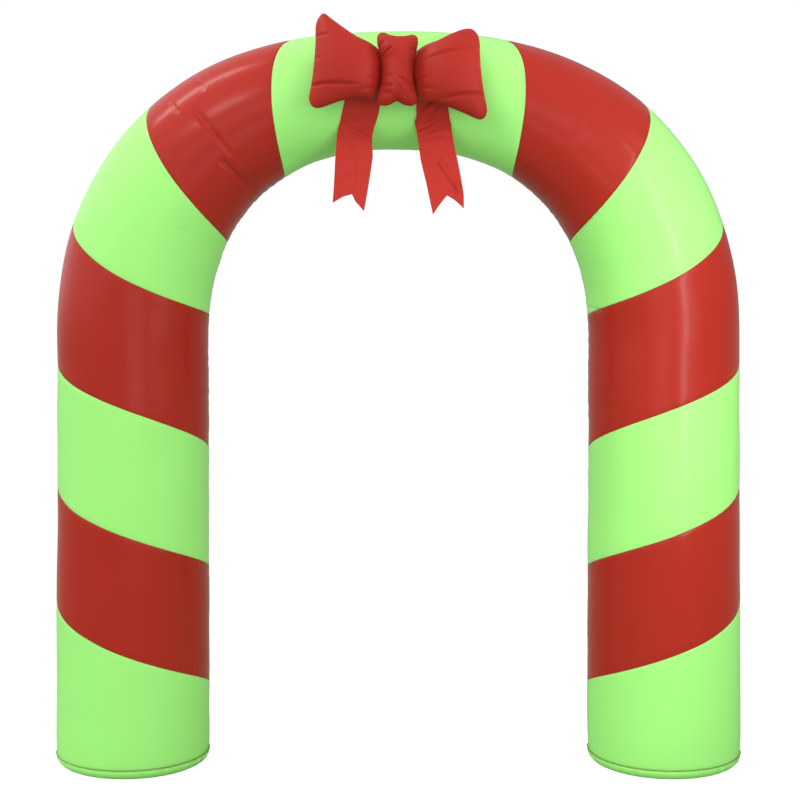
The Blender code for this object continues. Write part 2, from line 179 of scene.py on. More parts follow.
def skin(station, around, lift=0.0):
    """Points on the tube, from arrays: station runs from the left foot seam over the crown to the
    right one; around is 0 on the outer line, a quarter turn in front, a half turn inside."""
    station, around = np.broadcast_arrays(np.asarray(station, float), np.asarray(around, float))
    right = station > HALF_LENGTH
    along = np.where(right, 2 * HALF_LENGTH - station, station)
    x, z, radius, out_x, out_z = (np.interp(along, half_distance, row) for row in half_rows)
    radius = radius + lift
    reach = radius * np.cos(around)
    across = np.where(right, 1, -1) * (x + reach * out_x)
    return np.stack([across, AXIS_Y - radius * np.sin(around), FOOT_HEIGHT + z + reach * out_z], axis=-1)


def seam_station(seam, around):
    outer, fall, bow = seam
    turn = np.minimum(around, 2 * math.pi - around)
    return outer - fall * turn / math.pi + bow * np.sin(turn)


def turns(steps):
    """The angles of that many even steps round a ring."""
    return 2 * math.pi * np.arange(steps) / steps


def waves(u, v, pitch, seed, count=9):
    """Smooth unevenness between about -1 and 1, with features about a pitch apart. u and v are
    lengths, and so is the pitch."""
    draw = np.random.default_rng(seed)
    total = 0
    for _ in range(count):
        angle = draw.uniform(0, 2 * math.pi)
        number = 2 * math.pi / pitch * draw.uniform(*WAVE_RANGE)
        phase = draw.uniform(0, 2 * math.pi)
        total = total + np.sin(number * (math.cos(angle) * u + math.sin(angle) * v) + phase)
    return total * math.sqrt(2 / count) / WAVE_PEAK


def round_waves(around, lowest, highest, seed, count=14):
    """Unevenness round a closed ring: that many waves to a turn, from lowest to highest."""
    draw = np.random.default_rng(seed)
    total = 0
    for _ in range(count):
        number = int(draw.integers(lowest, highest + 1))
        total = total + np.sin(number * around + draw.uniform(0, 2 * math.pi))
    return total * math.sqrt(2 / count) / WAVE_PEAK


def trough(u, v, line, width):
    """1 on the line from one place to another, falling to 0 beside it and past its ends."""
    from_u, from_v, to_u, to_v = line
    line_u, line_v = to_u - from_u, to_v - from_v
    length = math.hypot(line_u, line_v)
    along = ((u - from_u) * line_u + (v - from_v) * line_v) / length**2
    beside = ((u - from_u) * line_v - (v - from_v) * line_u) / length
    ends = ease(along / FADE_IN) * ease((1 - along) / FADE_OUT)
    return np.exp(-((beside / width) ** 2)) * ends


def fabric_lift(station, around, from_seam):
    """How far the fabric stands off the plain tube, from_seam away from the nearest seam."""
    left = station <= HALF_LENGTH
    own = np.where(left, station, 2 * HALF_LENGTH - station)
    lift = -SEAM_DIP * np.exp(-from_seam / SEAM_SOFT)
    gather = round_waves(around, *PUCKER_WAVES, seed=3) * round_waves(around, *PUCKER_PATCHES, seed=8)
    lift = lift + PUCKER_HEIGHT * gather * np.exp(-((from_seam / PUCKER_REACH) ** 2))
    inside = np.exp(-(((around - math.pi) / INNER_REACH) ** 2))
    ripple = waves(own, np.where(left, 0.0, OTHER_SIDE), INNER_PITCH, seed=21)
    places, heights = np.array(INNER_GATHERS).T
    lift = lift + np.interp(own, places, heights) * ripple * inside
    broad = LEG_RADIUS * math.pi * (0.5 - 0.5 * np.cos(around))  # closes on itself round the tube
    lift = lift + SWELL_HEIGHT * waves(station, broad, SWELL_PITCH, seed=5)
    for side, *line, depth, width in CREASES:
        line = np.array(line) * (1, LEG_RADIUS, 1, LEG_RADIUS)
        pressed = trough(own, around * LEG_RADIUS, line, width)
        lift = lift - depth * pressed * (left if side == "left" else ~left)
    return lift


# --- Meshes


def add_object(name, data):
    made = bpy.data.objects.new(name, data)
    bpy.context.scene.collection.objects.link(made)
    return made


def make_piece(name, points, faces, coordinates, material, sharp=50):
    """A piece from arrays of points, of faces and of fabric coordinates in metres."""
    mesh = bpy.data.meshes.new(name)
    mesh.from_pydata(np.asarray(points).tolist(), [], [tuple(face) for face in faces])
    cloth_map = mesh.uv_layers.new(name="cloth")
    corners = np.zeros(len(mesh.loops), np.int32)
    mesh.loops.foreach_get("vertex_index", corners)
    cloth_map.data.foreach_set("uv", np.asarray(coordinates, np.float32)[corners].ravel())
    mesh.materials.append(material)
    mesh.shade_smooth()
    mesh.set_sharp_from_angle(angle=math.radians(sharp))
    return add_object(name, mesh)


def ring_faces(rings, steps):
    """Quads between closed rings of the same number of points, one after another."""
    faces = []
    for ring in range(rings - 1):
        for i in range(steps):
            j = (i + 1) % steps
            low, high = ring * steps, (ring + 1) * steps
            faces.append((low + i, low + j, high + j, high + i))
    return faces


def close_tube(rings):
    """Points and faces of a stack of closed rings with a fan over each end."""
    rings = np.asarray(rings)
    count, steps = rings.shape[:2]
    points = np.concatenate([rings.reshape(-1, 3), [rings[0].mean(0)], [rings[-1].mean(0)]])
    first = [(i, (i + 1) % steps) for i in range(steps)]
    last = (count - 1) * steps
    faces = ring_faces(count, steps)
    faces += [(j, i, count * steps) for i, j in first]
    faces += [(last + i, last + j, count * steps + 1) for i, j in first]
    return points, faces


def close_pillow(rings):
    """Points and faces of a stack of rings, each end closed straight across from front to back."""
    count, steps = rings.shape[:2]
    faces = ring_faces(count, steps)
    for first, flipped in ((0, True), ((count - 1) * steps, False)):
        for i in range(steps // 2):
            corners = dict.fromkeys((i, i + 1, steps - i - 1, (steps - i) % steps))
            corners = tuple(first + corner for corner in corners)
            faces.append(corners[::-1] if flipped else corners)
    return rings.reshape(-1, 3), faces


def face_outwards(piece):
    """Turns every face of a closed piece outwards."""
    made = bmesh.new()
    made.from_mesh(piece.data)
    bmesh.ops.remove_doubles(made, verts=made.verts, dist=1e-6)
    bmesh.ops.recalc_face_normals(made, faces=made.faces)
    made.to_mesh(piece.data)
    made.free()


# --- The tube's bands


def band_rows(length, pitch):
    """Shares of the way along a band, close together near both seams."""
    near = [row / length for row in SEAM_ROWS]
    middle = 1 - 2 * near[-1]
    steps = max(2, round(middle * length / pitch))
    rows = near + [near[-1] + middle * step / steps for step in range(1, steps)]
    return np.array(rows + [1 - row for row in reversed(near)])


def make_band(name, material, start, end):
    """One fabric ring of the tube; start and end are its seams' stations, by the angle round."""
    fine = FINE_BANDS.get(name, 1)
    columns = COLUMNS * fine
    around = turns(columns)
    first, last = start(around) + SEAM_GAP / 2, end(around) - SEAM_GAP / 2
    shares = band_rows(float(np.mean(last - first)), ROW_PITCH / fine)[:, None]
    station = first + (last - first) * shares
    from_seam = np.minimum(station - first, last - station)
    lift = fabric_lift(station, around, from_seam)
    station = np.concatenate([first[None], station, last[None]])
    tucked = np.full((1, columns), -TUCK)
    lift = np.concatenate([tucked, lift, tucked])
    points, faces = close_tube(skin(station, around, lift))
    rows = len(station)
    cloth = np.stack([np.tile(around * LEG_RADIUS, rows), station.ravel()], axis=-1)
    cloth = np.concatenate([cloth, [[0, 0], [0, 0]]])
    band = make_piece(name + "_cloth", points, faces, cloth, material)
    face_outwards(band)
    band_node(band, name + "_band", "green" if "green" in name else "red")
    return band


def band_node(piece, node, colour):
    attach(piece, "root")
    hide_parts(node)
    colour + "_fabric"


def seam_line(seam, side):
    """The seam's stations by the angle round, on the left half of the tube or the right."""
    if side == "left":
        return lambda around: seam_station(seam, around)
    return lambda around: 2 * HALF_LENGTH - seam_station(seam, around)


def make_tube(fabrics):
    for name, below, above in zip(SIDE_BANDS, SEAMS, SEAMS[1:]):
        fabric = fabrics[name.split("_")[1]]
        make_band("left_" + name, fabric, seam_line(below, "left"), seam_line(above, "left"))
        make_band("right_" + name, fabric, seam_line(above, "right"), seam_line(below, "right"))
    top = SEAMS[-1]
    make_band("crown_green", fabrics["green"], seam_line(top, "left"), seam_line(top, "right"))


# --- Feet

FOOT_PROFILE = (
    # inwards from the seam's radius, height
    (0.0012, 0.0357),
    (0.0004, 0.0340),
    (-0.0008, 0.0300),
    (-0.0008, 0.0250),
    (0.0010, 0.0200),
    (0.0038, 0.0150),
    (0.0078, 0.0100),
    (0.0130, 0.0055),
    (0.0190, 0.0025),
    (0.0270, 0.0006),
    (0.0340, 0.0000),
    (0.1200, 0.0000),
)
FOOT_SEEDS = {"left": 31, "right": 47}
FOOT_PUCKER = 0.0022
FOOT_WAVES = (24, 64)
FOOT_PATCHES = (2, 6)
FLAT_PUCKER = 0.25  # share of the puckers on the underside
PIPING_RADIUS = 0.0018
PIPING_PROUD = 0.0012  # its centre, outside the seam's radius
PIPING_WAVER = 0.0004
PIPING_WAVES = (8, 30)
PIPING_STEPS = 10


def level_ring(centre_x, reach, height, around):
    """A closed ring at one height round a foot's middle."""
    across, back = centre_x + reach * np.cos(around), AXIS_Y + reach * np.sin(around)
    return np.stack([across, back, np.full(len(around), height)], axis=-1)


def make_foot(side, material, piping):
    """A puffed round panel, gathered into its seam, with a thin piping along that seam."""
    centre_x = (-1 if side == "left" else 1) * float(half_rows[0][0])
    radius = float(half_rows[2][0])
    around = turns(COLUMNS)
    seed = FOOT_SEEDS[side]
    patches = 0.6 + 0.5 * round_waves(around, *FOOT_PATCHES, seed + 1)
    gathers = round_waves(around, *FOOT_WAVES, seed) * patches
    rings = []
    for inwards, height in FOOT_PROFILE:
        share = height / FOOT_HEIGHT * 0.8 + 0.1
        strength = math.sin(math.pi * share) if height > 0 else FLAT_PUCKER
        reach = radius - inwards + FOOT_PUCKER * gathers * strength
        rings.append(level_ring(centre_x, reach, height, around))
    points, faces = close_tube(rings)
    foot = make_piece(side + "_foot_cloth", points, faces, points[:, :2], material)
    face_outwards(foot)
    band_node(foot, side + "_foot", "green")
    rings = []
    proud = radius + PIPING_PROUD + PIPING_WAVER * round_waves(around, *PIPING_WAVES, seed + 2)
    for turn in turns(PIPING_STEPS).tolist():
        reach = proud + PIPING_RADIUS * math.cos(turn)
        height = FOOT_HEIGHT + PIPING_RADIUS * math.sin(turn)
        rings.append(level_ring(centre_x, reach, height, around))
    points = np.concatenate(rings)
    faces = ring_faces(PIPING_STEPS, COLUMNS)
    last = (PIPING_STEPS - 1) * COLUMNS
    faces += [(last + i, last + (i + 1) % COLUMNS, (i + 1) % COLUMNS, i) for i in range(COLUMNS)]
    ring = make_piece(side + "_foot_piping", points, faces, points[:, :2], piping)
    face_outwards(ring)
    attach(ring, "root")


# --- The bow, in a plane that leans back with the front of the tube it lies on

BOW_TILT = math.radians(16)
BOW_REACH = 0.2112  # tube's centre at the crown to the bow's middle plane at the neck
LOOP_SWING = 0.045  # loops swing forwards from that plane
SWING_FROM = 0.050
SWING_SPAN = 0.058
EDGE_WAIST = 0.006
NECK_GAP = 0.0007
LOOP_STEPS = 144
LOOP_RIBS = 9
LOOP_EVEN_ROUNDS = 30  # its depth is evened out along it
LOOP_EVEN_RINGS = 14  # fading out over so many rings at its rim

LEFT_LOOP = (
    # top_out, top, bottom_out, bottom, front, back
    (0.000, 0.045, 0.000, -0.045, 0.0192, 0.0150),
    (0.047, 0.048, 0.047, -0.052, 0.0190, 0.0150),
    (0.053, 0.052, 0.053, -0.062, 0.0213, 0.0172),
    (0.062, 0.060, 0.062, -0.086, 0.0285, 0.0214),
    (0.085, 0.070, 0.085, -0.110, 0.0470, 0.0350),
    (0.131, 0.088, 0.128, -0.113, 0.0620, 0.0552),
    (0.175, 0.118, 0.180, -0.122, 0.0680, 0.0588),
    (0.210, 0.146, 0.222, -0.138, 0.0630, 0.0520),
    (0.236, 0.165, 0.250, -0.147, 0.0480, 0.0420),
    (0.252, 0.151, 0.270, -0.142, 0.0300, 0.0270),
    (0.2602, 0.131, 0.2795, -0.124, 0.0145, 0.0130),
    (0.2622, 0.108, 0.2800, -0.104, 0.0000, 0.0000),
)
RIGHT_LOOP = (
    (0.000, 0.045, 0.000, -0.045, 0.0192, 0.0150),
    (0.043, 0.046, 0.043, -0.056, 0.0192, 0.0150),
    (0.050, 0.050, 0.050, -0.070, 0.0250, 0.0170),
    (0.058, 0.056, 0.060, -0.098, 0.0300, 0.0200),
    (0.080, 0.064, 0.082, -0.118, 0.0475, 0.0320),
    (0.119, 0.073, 0.125, -0.131, 0.0615, 0.0500),
    (0.160, 0.093, 0.168, -0.147, 0.0680, 0.0560),
    (0.200, 0.110, 0.215, -0.168, 0.0630, 0.0520),
    (0.230, 0.113, 0.250, -0.184, 0.0480, 0.0420),
    (0.248, 0.097, 0.268, -0.180, 0.0300, 0.0270),
    (0.2550, 0.077, 0.2768, -0.161, 0.0145, 0.0130),
    (0.2570, 0.054, 0.2764, -0.140, 0.0000, 0.0000),
)

KNOT_STEPS = 120
KNOT_RIBS = 8
KNOT_POWER = 0.95
KNOT_TILT = 0.0035  # its upper left corner stands higher
TILT_FROM = 0.050
TILT_SPAN = 0.050
NOTCH = 0.017  # pulled up in the middle of its lower edge
NOTCH_BELOW = -0.070
NOTCH_SPAN = 0.050
NOTCH_PLACE = -0.005
NOTCH_WIDTH = 0.020
NOTCH_POWER = 1.5
KNOT_ROWS = (
    # height, left, right, back, front, dip
    (-0.138, -0.045, 0.038, 0.0330, 0.0000, 0.000),
    (-0.131, -0.060, 0.052, 0.0320, 0.0230, 0.000),
    (-0.113, -0.068, 0.060, 0.0310, 0.0405, 0.000),
    (-0.080, -0.060, 0.053, 0.0280, 0.0510, 0.000),
    (-0.045, -0.0545, 0.0485, 0.0240, 0.0525, 0.000),
    (0.000, -0.054, 0.0485, 0.0236, 0.0519, 0.000),
    (0.048, -0.0615, 0.057, 0.0255, 0.0525, 0.003),
    (0.073, -0.068, 0.062, 0.0290, 0.0420, 0.006),
    (0.090, -0.0675, 0.0615, 0.0320, 0.0280, 0.008),
    (0.0985, -0.0625, 0.0565, 0.0325, 0.0150, 0.009),
    (0.1030, -0.0540, 0.0470, 0.0330, 0.0070, 0.010),
    (0.1030, -0.0440, 0.0370, 0.0330, 0.0000, 0.008),
)

# Creases of the bow's front, each from one place to another: across to the right of the middle and
# up from the neck, with a depth and a half-width. A negative depth raises a soft fold.
BOW_CREASES = {
    # across_from, up_from, across_to, up_to, depth, width
    "left_bow_loop": (
        (-0.290, -0.079, -0.110, -0.085, 0.0082, 0.0056),
        (-0.274, 0.084, -0.205, 0.078, 0.0048, 0.0052),
        (-0.278, 0.008, -0.235, 0.003, 0.0036, 0.0060),
        (-0.282, -0.040, -0.245, -0.038, 0.0030, 0.0055),
        (-0.066, -0.078, -0.122, -0.100, 0.0040, 0.0050),
        (-0.064, -0.052, -0.104, -0.062, 0.0030, 0.0045),
        (-0.062, 0.034, -0.100, 0.046, 0.0030, 0.0045),
    ),
    "right_bow_loop": (
        (0.268, 0.052, 0.052, -0.010, 0.0074, 0.0056),
        (0.284, -0.107, 0.110, -0.130, 0.0080, 0.0054),
        (0.278, -0.028, 0.235, -0.040, 0.0034, 0.0060),
        (0.064, -0.078, 0.122, -0.104, 0.0040, 0.0050),
        (0.062, -0.050, 0.102, -0.060, 0.0030, 0.0045),
        (0.060, 0.030, 0.098, 0.040, 0.0030, 0.0045),
    ),
    "bow_knot": (
        (-0.066, 0.050, -0.038, 0.074, 0.0050, 0.0058),
        (-0.058, 0.012, -0.014, 0.052, 0.0086, 0.0054),
        (-0.040, 0.018, 0.002, 0.048, -0.0055, 0.0050),
        (-0.062, 0.002, -0.030, 0.015, 0.0058, 0.0055),
        (0.062, 0.046, 0.026, 0.030, 0.0040, 0.0055),
        (0.056, -0.077, -0.010, -0.051, 0.0090, 0.0058),
        (-0.014, -0.052, 0.044, -0.118, -0.0060, 0.0085),
        (-0.066, -0.070, -0.010, -0.090, 0.0076, 0.0054),
        (-0.048, -0.082, -0.008, -0.100, -0.0042, 0.0055),
        (-0.074, -0.097, -0.016, -0.109, 0.0062, 0.0058),
        (-0.060, -0.054, -0.014, -0.046, 0.0040, 0.0055),
        (-0.064, -0.026, -0.034, -0.022, 0.0034, 0.0042),
        (0.058, 0.008, 0.032, 0.004, 0.0036, 0.0042),
        (0.058, -0.028, 0.030, -0.020, 0.0036, 0.0042),
        (0.066, -0.098, 0.034, -0.090, 0.0040, 0.0048),
        (0.070, 0.070, 0.040, 0.062, 0.0036, 0.0046),
    ),
}
CREASE_SIDE = 0.35  # a crease fades out towards the seams from this sine of the turn
CREASE_RIM = 8  # and over so many rings at the end

LOOP_FINER = (1, 3)  # times more rings, and points in each
KNOT_FINER = (2, 2)


def refine(table, steps):
    """The table's rows with smooth rows between them, as a Catmull-Rom curve through each column."""
    rows = np.array(table, float)
    padded = np.concatenate([rows[:1], rows, rows[-1:]])
    t = (np.arange(steps) / steps)[:, None]
    finer = []
    for before, here, after, later in zip(padded, padded[1:], padded[2:], padded[3:]):
        slope = after - before
        bend = 2 * before - 5 * here + 4 * after - later
        twist = 3 * (here - after) + later - before
        finer.append(here + 0.5 * t * (slope + t * (bend + t * twist)))
    return np.concatenate(finer + [rows[-1:]])


def lean_back(points):
    """From the bow's own plane to the arch's frame."""
    x, y, z = np.moveaxis(np.asarray(points), -1, 0)
    cosine, sine = math.cos(BOW_TILT), math.sin(BOW_TILT)
    crown = FOOT_HEIGHT + LEG_RISE + HEAD_RISE
    back = AXIS_Y + (y - BOW_REACH) * cosine + z * sine
    return np.stack([x, back, crown + (BOW_REACH - y) * sine + z * cosine], axis=-1)


def loop_rings(side, table):
    turn = turns(LOOP_STEPS)
    up = 0.5 - 0.5 * np.cos(turn)
    swell = np.abs(np.sin(turn))
    widest = max(row[0] for row in table)
    rings = []
    for top_out, top, bottom_out, bottom, front, back in refine(table, LOOP_RIBS):
        out = bottom_out + (top_out - bottom_out) * up
        out = out - EDGE_WAIST * 4 * up * (1 - up) * (top_out / widest) ** 2
        middle = -LOOP_SWING * ease((out - SWING_FROM) / SWING_SPAN)
        bulge = np.where(turn <= math.pi, -max(front, 0), max(back, 0)) * swell
        across = (-1 if side == "left" else 1) * (out + NECK_GAP)
        rings.append(np.stack([across, middle + bulge, bottom + (top - bottom) * up], axis=-1))
    rings = np.array(rings)
    count = len(rings)
    softer = ease((count - 1 - np.arange(count)) / LOOP_EVEN_RINGS)[:, None]
    rings[..., 1] += softer * (even_out(rings, LOOP_EVEN_ROUNDS) - rings)[..., 1]
    return rings


def knot_rings():
    turn = turns(KNOT_STEPS)
    across = 0.5 - 0.5 * np.cos(turn)
    swell = np.maximum(0, np.sin(turn)) ** KNOT_POWER
    rings = []
    for height, left, right, back, front, dip in refine(KNOT_ROWS, KNOT_RIBS):
        x = left + (right - left) * across
        z = height - dip * 4 * across * (1 - across)
        z = z + KNOT_TILT * ease((height - TILT_FROM) / TILT_SPAN) * (1 - 2 * across)
        beside = np.abs((x - NOTCH_PLACE) / NOTCH_WIDTH) ** NOTCH_POWER
        z = z + NOTCH * ease((NOTCH_BELOW - z) / NOTCH_SPAN) * np.exp(-beside)
        rings.append(np.stack([x, -back - swell * max(0, front), z], axis=-1))
    return np.array(rings)


def press_creases(name, rings):
    """Moves the front of a bow piece back along its creases."""
    ring, step = np.indices(rings.shape[:2])
    steps = rings.shape[1]
    front = ease(np.sin(2 * math.pi * step / steps) / CREASE_SIDE)
    front = front * ease((len(rings) - 1 - ring) / CREASE_RIM)
    for *line, depth, width in BOW_CREASES[name]:
        rings[..., 1] += depth * front * trough(rings[..., 0], rings[..., 2], line, width)
    return rings


def even_out(rings, rounds):
    """Rings with their short waves taken out, from ring to ring."""
    for _ in range(rounds):
        longer = np.concatenate([rings[:1], rings, rings[-1:]])
        rings = 0.5 * rings + 0.25 * (longer[:-2] + longer[2:])
    return rings


def finer_rings(rings, more_rings, more_steps):
    """More rings, and more points in each, on the same smooth form."""
    count, steps = rings.shape[:2]
    rings = refine(rings.reshape(count, -1), more_rings).reshape(-1, steps, 3)
    around = np.swapaxes(rings, 0, 1).reshape(steps, -1)
    around = refine(np.concatenate([around[-2:], around, around[:3]]), more_steps)
    around = around[2 * more_steps : (steps + 2) * more_steps]
    return np.swapaxes(around.reshape(steps * more_steps, -1, 3), 0, 1)


def make_pillow(name, node, rings, material, finer):
    """A puffed bow piece from its rings. Its seams run along the rings' first and middle points."""
    rings = press_creases(node, finer_rings(rings, *finer))
    points, faces = close_pillow(rings)
    piece = make_piece(name, lean_back(points), faces, points[:, [0, 2]], material)
    face_outwards(piece)
    piece.data.shade_smooth()
    band_node(piece, node, "red")


def make_bow(cloth):
    for side, table in (("left", LEFT_LOOP), ("right", RIGHT_LOOP)):
        rings = loop_rings(side, table)
        make_pillow(side + "_loop_cloth", side + "_bow_loop", rings, cloth, LOOP_FINER)
    make_pillow("knot_cloth", "bow_knot", knot_rings(), cloth, KNOT_FINER)


# --- The ribbons that hang from the bow

TAIL_THICKNESS = 0.0016
TAIL_LIFT = 0.0009  # off the tube's skin
TAIL_TOP = math.radians(82)  # round the tube from its outer line
TAIL_LEAVES = math.radians(122)  # where a ribbon leaves the tube
TAIL_BEND = 0.028  # length over which it turns from there to hang
TAIL_FLARE = math.radians(13)  # a stiff ribbon hangs with its end this far forwards
BEND_STEPS = 24
PLACE_ROUNDS = 5  # to find a place on the tube
TAIL_COLUMNS = 44
TAIL_ROW_PITCH = 0.0032
TAIL_CUT_ROWS = 16
TAIL_CURL = 0.005
CURL_FROM = 0.17
CURL_SPAN = 0.10
TAIL_SEEDS = {"left": 61, "right": 67}
TAIL_WAVER = 0.0012
WAVER_PITCH = 0.055
WAVER_LEAST = 0.3  # share of it where a ribbon lies on the tube
TAILS = {
    "left": (
        # down, left, right
        (0.000, -0.160, -0.042),
        (0.070, -0.174, -0.057),
        (0.113, -0.184, -0.064),
        (0.137, -0.190, -0.071),
        (0.165, -0.197, -0.080),
        (0.190, -0.199, -0.085),
        (0.250, -0.203, -0.082),
        (0.300, -0.205, -0.089),
        (0.350, -0.208, -0.097),
        (0.423, -0.213, -0.110),
    ),
    "right": (
        (0.000, 0.042, 0.140),
        (0.070, 0.056, 0.157),
        (0.125, 0.058, 0.165),
        (0.140, 0.051, 0.169),
        (0.165, 0.057, 0.172),
        (0.205, 0.063, 0.179),
        (0.263, 0.071, 0.192),
        (0.300, 0.080, 0.199),
        (0.336, 0.089, 0.205),
        (0.360, 0.094, 0.209),
        (0.434, 0.110, 0.208),
    ),
}
TAIL_WIDTH = 0.12  # about, for the folds
TAIL_CUT_FROM = 0.335
TAIL_ENDS = {
    # the cut's places across and down, from its left corner to its right
    "left": ((0.0, 0.383), (0.30, 0.3685), (0.55, 0.365), (0.68, 0.389), (1.0, 0.423)),
    "right": ((0.0, 0.434), (0.53, 0.368), (0.76, 0.381), (1.0, 0.401)),
}
TAIL_FOLDS = {
    # across_from, down_from, across_to, down_to, height, half_width
    "left": (
        (1.22, 0.179, 0.26, 0.134, 0.0074, 0.0062),
        (1.22, 0.214, 0.24, 0.149, 0.0088, 0.0066),
        (1.20, 0.236, 0.46, 0.185, 0.0036, 0.0075),
        (-0.20, 0.142, 0.62, 0.163, 0.0040, 0.0080),
        (0.40, 0.205, 0.62, 0.400, 0.0075, 0.0125),
        (0.10, 0.090, 0.60, 0.130, 0.0020, 0.0090),
    ),
    "right": (
        (-0.22, 0.152, 0.86, 0.041, 0.0095, 0.0054),
        (-0.08, 0.170, 1.00, 0.065, 0.0064, 0.0056),
        (-0.34, 0.196, 1.90, 0.084, 0.0074, 0.0056),
        (-0.34, 0.204, 1.90, 0.121, 0.0062, 0.0058),
        (-0.12, 0.214, 0.90, 0.185, 0.0042, 0.0070),
        (0.45, 0.250, 0.99, 0.364, 0.0084, 0.0108),
        (0.90, 0.318, 0.78, 0.412, 0.0064, 0.0085),
    ),
}


def skin_at(across, around, lift):
    """Points on the tube near the crown, at this distance to the right of the middle."""
    station = HALF_LENGTH + across
    for _ in range(PLACE_ROUNDS):
        station = station + across - skin(station, around, lift)[..., 0]
    return skin(station, around, lift)


def ribbon_points(across, down):
    """Points under a ribbon, this far right of the middle and this far down from its top."""
    radius = CROWN_RADIUS + TAIL_LIFT
    on_tube = radius * (TAIL_LEAVES - TAIL_TOP)
    points = skin_at(across, TAIL_TOP + np.minimum(down, on_tube) / radius, TAIL_LIFT)
    slope = TAIL_LEAVES - math.pi / 2
    bend = np.clip(down - on_tube, 0, TAIL_BEND)
    for step in range(BEND_STEPS):
        share = (step + 0.5) / BEND_STEPS * bend / TAIL_BEND
        lean = slope * (1 - share) - TAIL_FLARE * share
        points[..., 1] += np.sin(lean) * bend / BEND_STEPS
        points[..., 2] -= np.cos(lean) * bend / BEND_STEPS
    drop = np.maximum(down - on_tube - TAIL_BEND, 0)
    points[..., 1] -= math.tan(TAIL_FLARE) * drop
    points[..., 2] -= drop
    return points


def fold_height(side, across, down):
    """How far a ribbon is raised at each place by its folds, which fade out within it."""
    height = 0.0
    for *line, raised, half in TAIL_FOLDS[side]:
        line = np.array(line) * (TAIL_WIDTH, 1, TAIL_WIDTH, 1)
        height = height + raised * trough(across * TAIL_WIDTH, down, line, half)
    return height


def tail_grid(side):
    """Places across and down a ribbon, its rows running out into the cut of its end."""
    places, ends = np.array(TAIL_ENDS[side]).T
    notch_across = places[np.argmin(ends)]
    even_rows = round(TAIL_CUT_FROM / TAIL_ROW_PITCH)
    across = np.arange(TAIL_COLUMNS + 1) / TAIL_COLUMNS
    across = across + (notch_across - 0.5) * 4 * across * (1 - across)
    end = np.interp(across, places, ends)
    even = (TAIL_CUT_FROM * np.arange(even_rows + 1) / even_rows)[:, None] + 0 * across
    share = (np.arange(1, TAIL_CUT_ROWS + 1) / TAIL_CUT_ROWS)[:, None]
    down = np.concatenate([even, TAIL_CUT_FROM + (end - TAIL_CUT_FROM) * share])
    return across + 0 * down, down


def close_sheet(under, over):
    """Points and faces of a thin sheet from two grids of points, one for each side of it."""
    rows, columns = under.shape[:2]
    grid = np.arange(rows * columns).reshape(rows, columns)
    front = rows * columns
    faces = []
    for a, b in zip(grid[:-1, :-1].ravel().tolist(), grid[1:, :-1].ravel().tolist()):
        faces.append((a, a + 1, b + 1, b))
        faces.append((front + a, front + b, front + b + 1, front + a + 1))
    rim = np.concatenate([grid[0], grid[1:, -1], grid[-1, -2::-1], grid[-2:0:-1, 0]]).tolist()
    faces += [(a, b, front + b, front + a) for a, b in zip(rim, rim[1:] + rim[:1])]
    return np.concatenate([under.reshape(-1, 3), over.reshape(-1, 3)]), faces


def make_tail(side, material):
    """A ribbon of cloth as one thin sheet with a swallow-tailed end."""
    across, down = tail_grid(side)
    downs, lefts, rights = np.array(TAILS[side]).T
    left, right = np.interp(down, downs, lefts), np.interp(down, downs, rights)
    width = right - left
    under = ribbon_points(left + width * across, down)
    free = ease((down - CURL_FROM) / CURL_SPAN)
    raised = fold_height(side, across, down) + TAIL_CURL * free * (2 * across - 1) ** 2
    waver = 1 + waves(across * width, down, WAVER_PITCH, TAIL_SEEDS[side])
    raised = raised + TAIL_WAVER * waver * (WAVER_LEAST + free)
    under[..., 1] -= raised
    normal = np.cross(np.gradient(under, axis=0), np.gradient(under, axis=1))
    normal /= np.linalg.norm(normal, axis=-1)[..., None]
    normal *= np.where(normal[..., 1:2] > 0, -1, 1)
    points, faces = close_sheet(under, under + TAIL_THICKNESS * normal)
    cloth = np.stack([across * width, down], axis=-1).reshape(-1, 2)
    tail = make_piece(side + "_tail_cloth", points, faces, np.tile(cloth, (2, 1)), material, sharp=60)
    face_outwards(tail)
    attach(tail, "root")
    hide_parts(side + "_bow_tail")


# --- Stitches in the seams

STITCH_PITCH = 0.0075
STITCH_LENGTH = 0.0056
STITCH_RADIUS = 0.0006
STITCH_DEPTH = 0.0013  # into the seam's groove


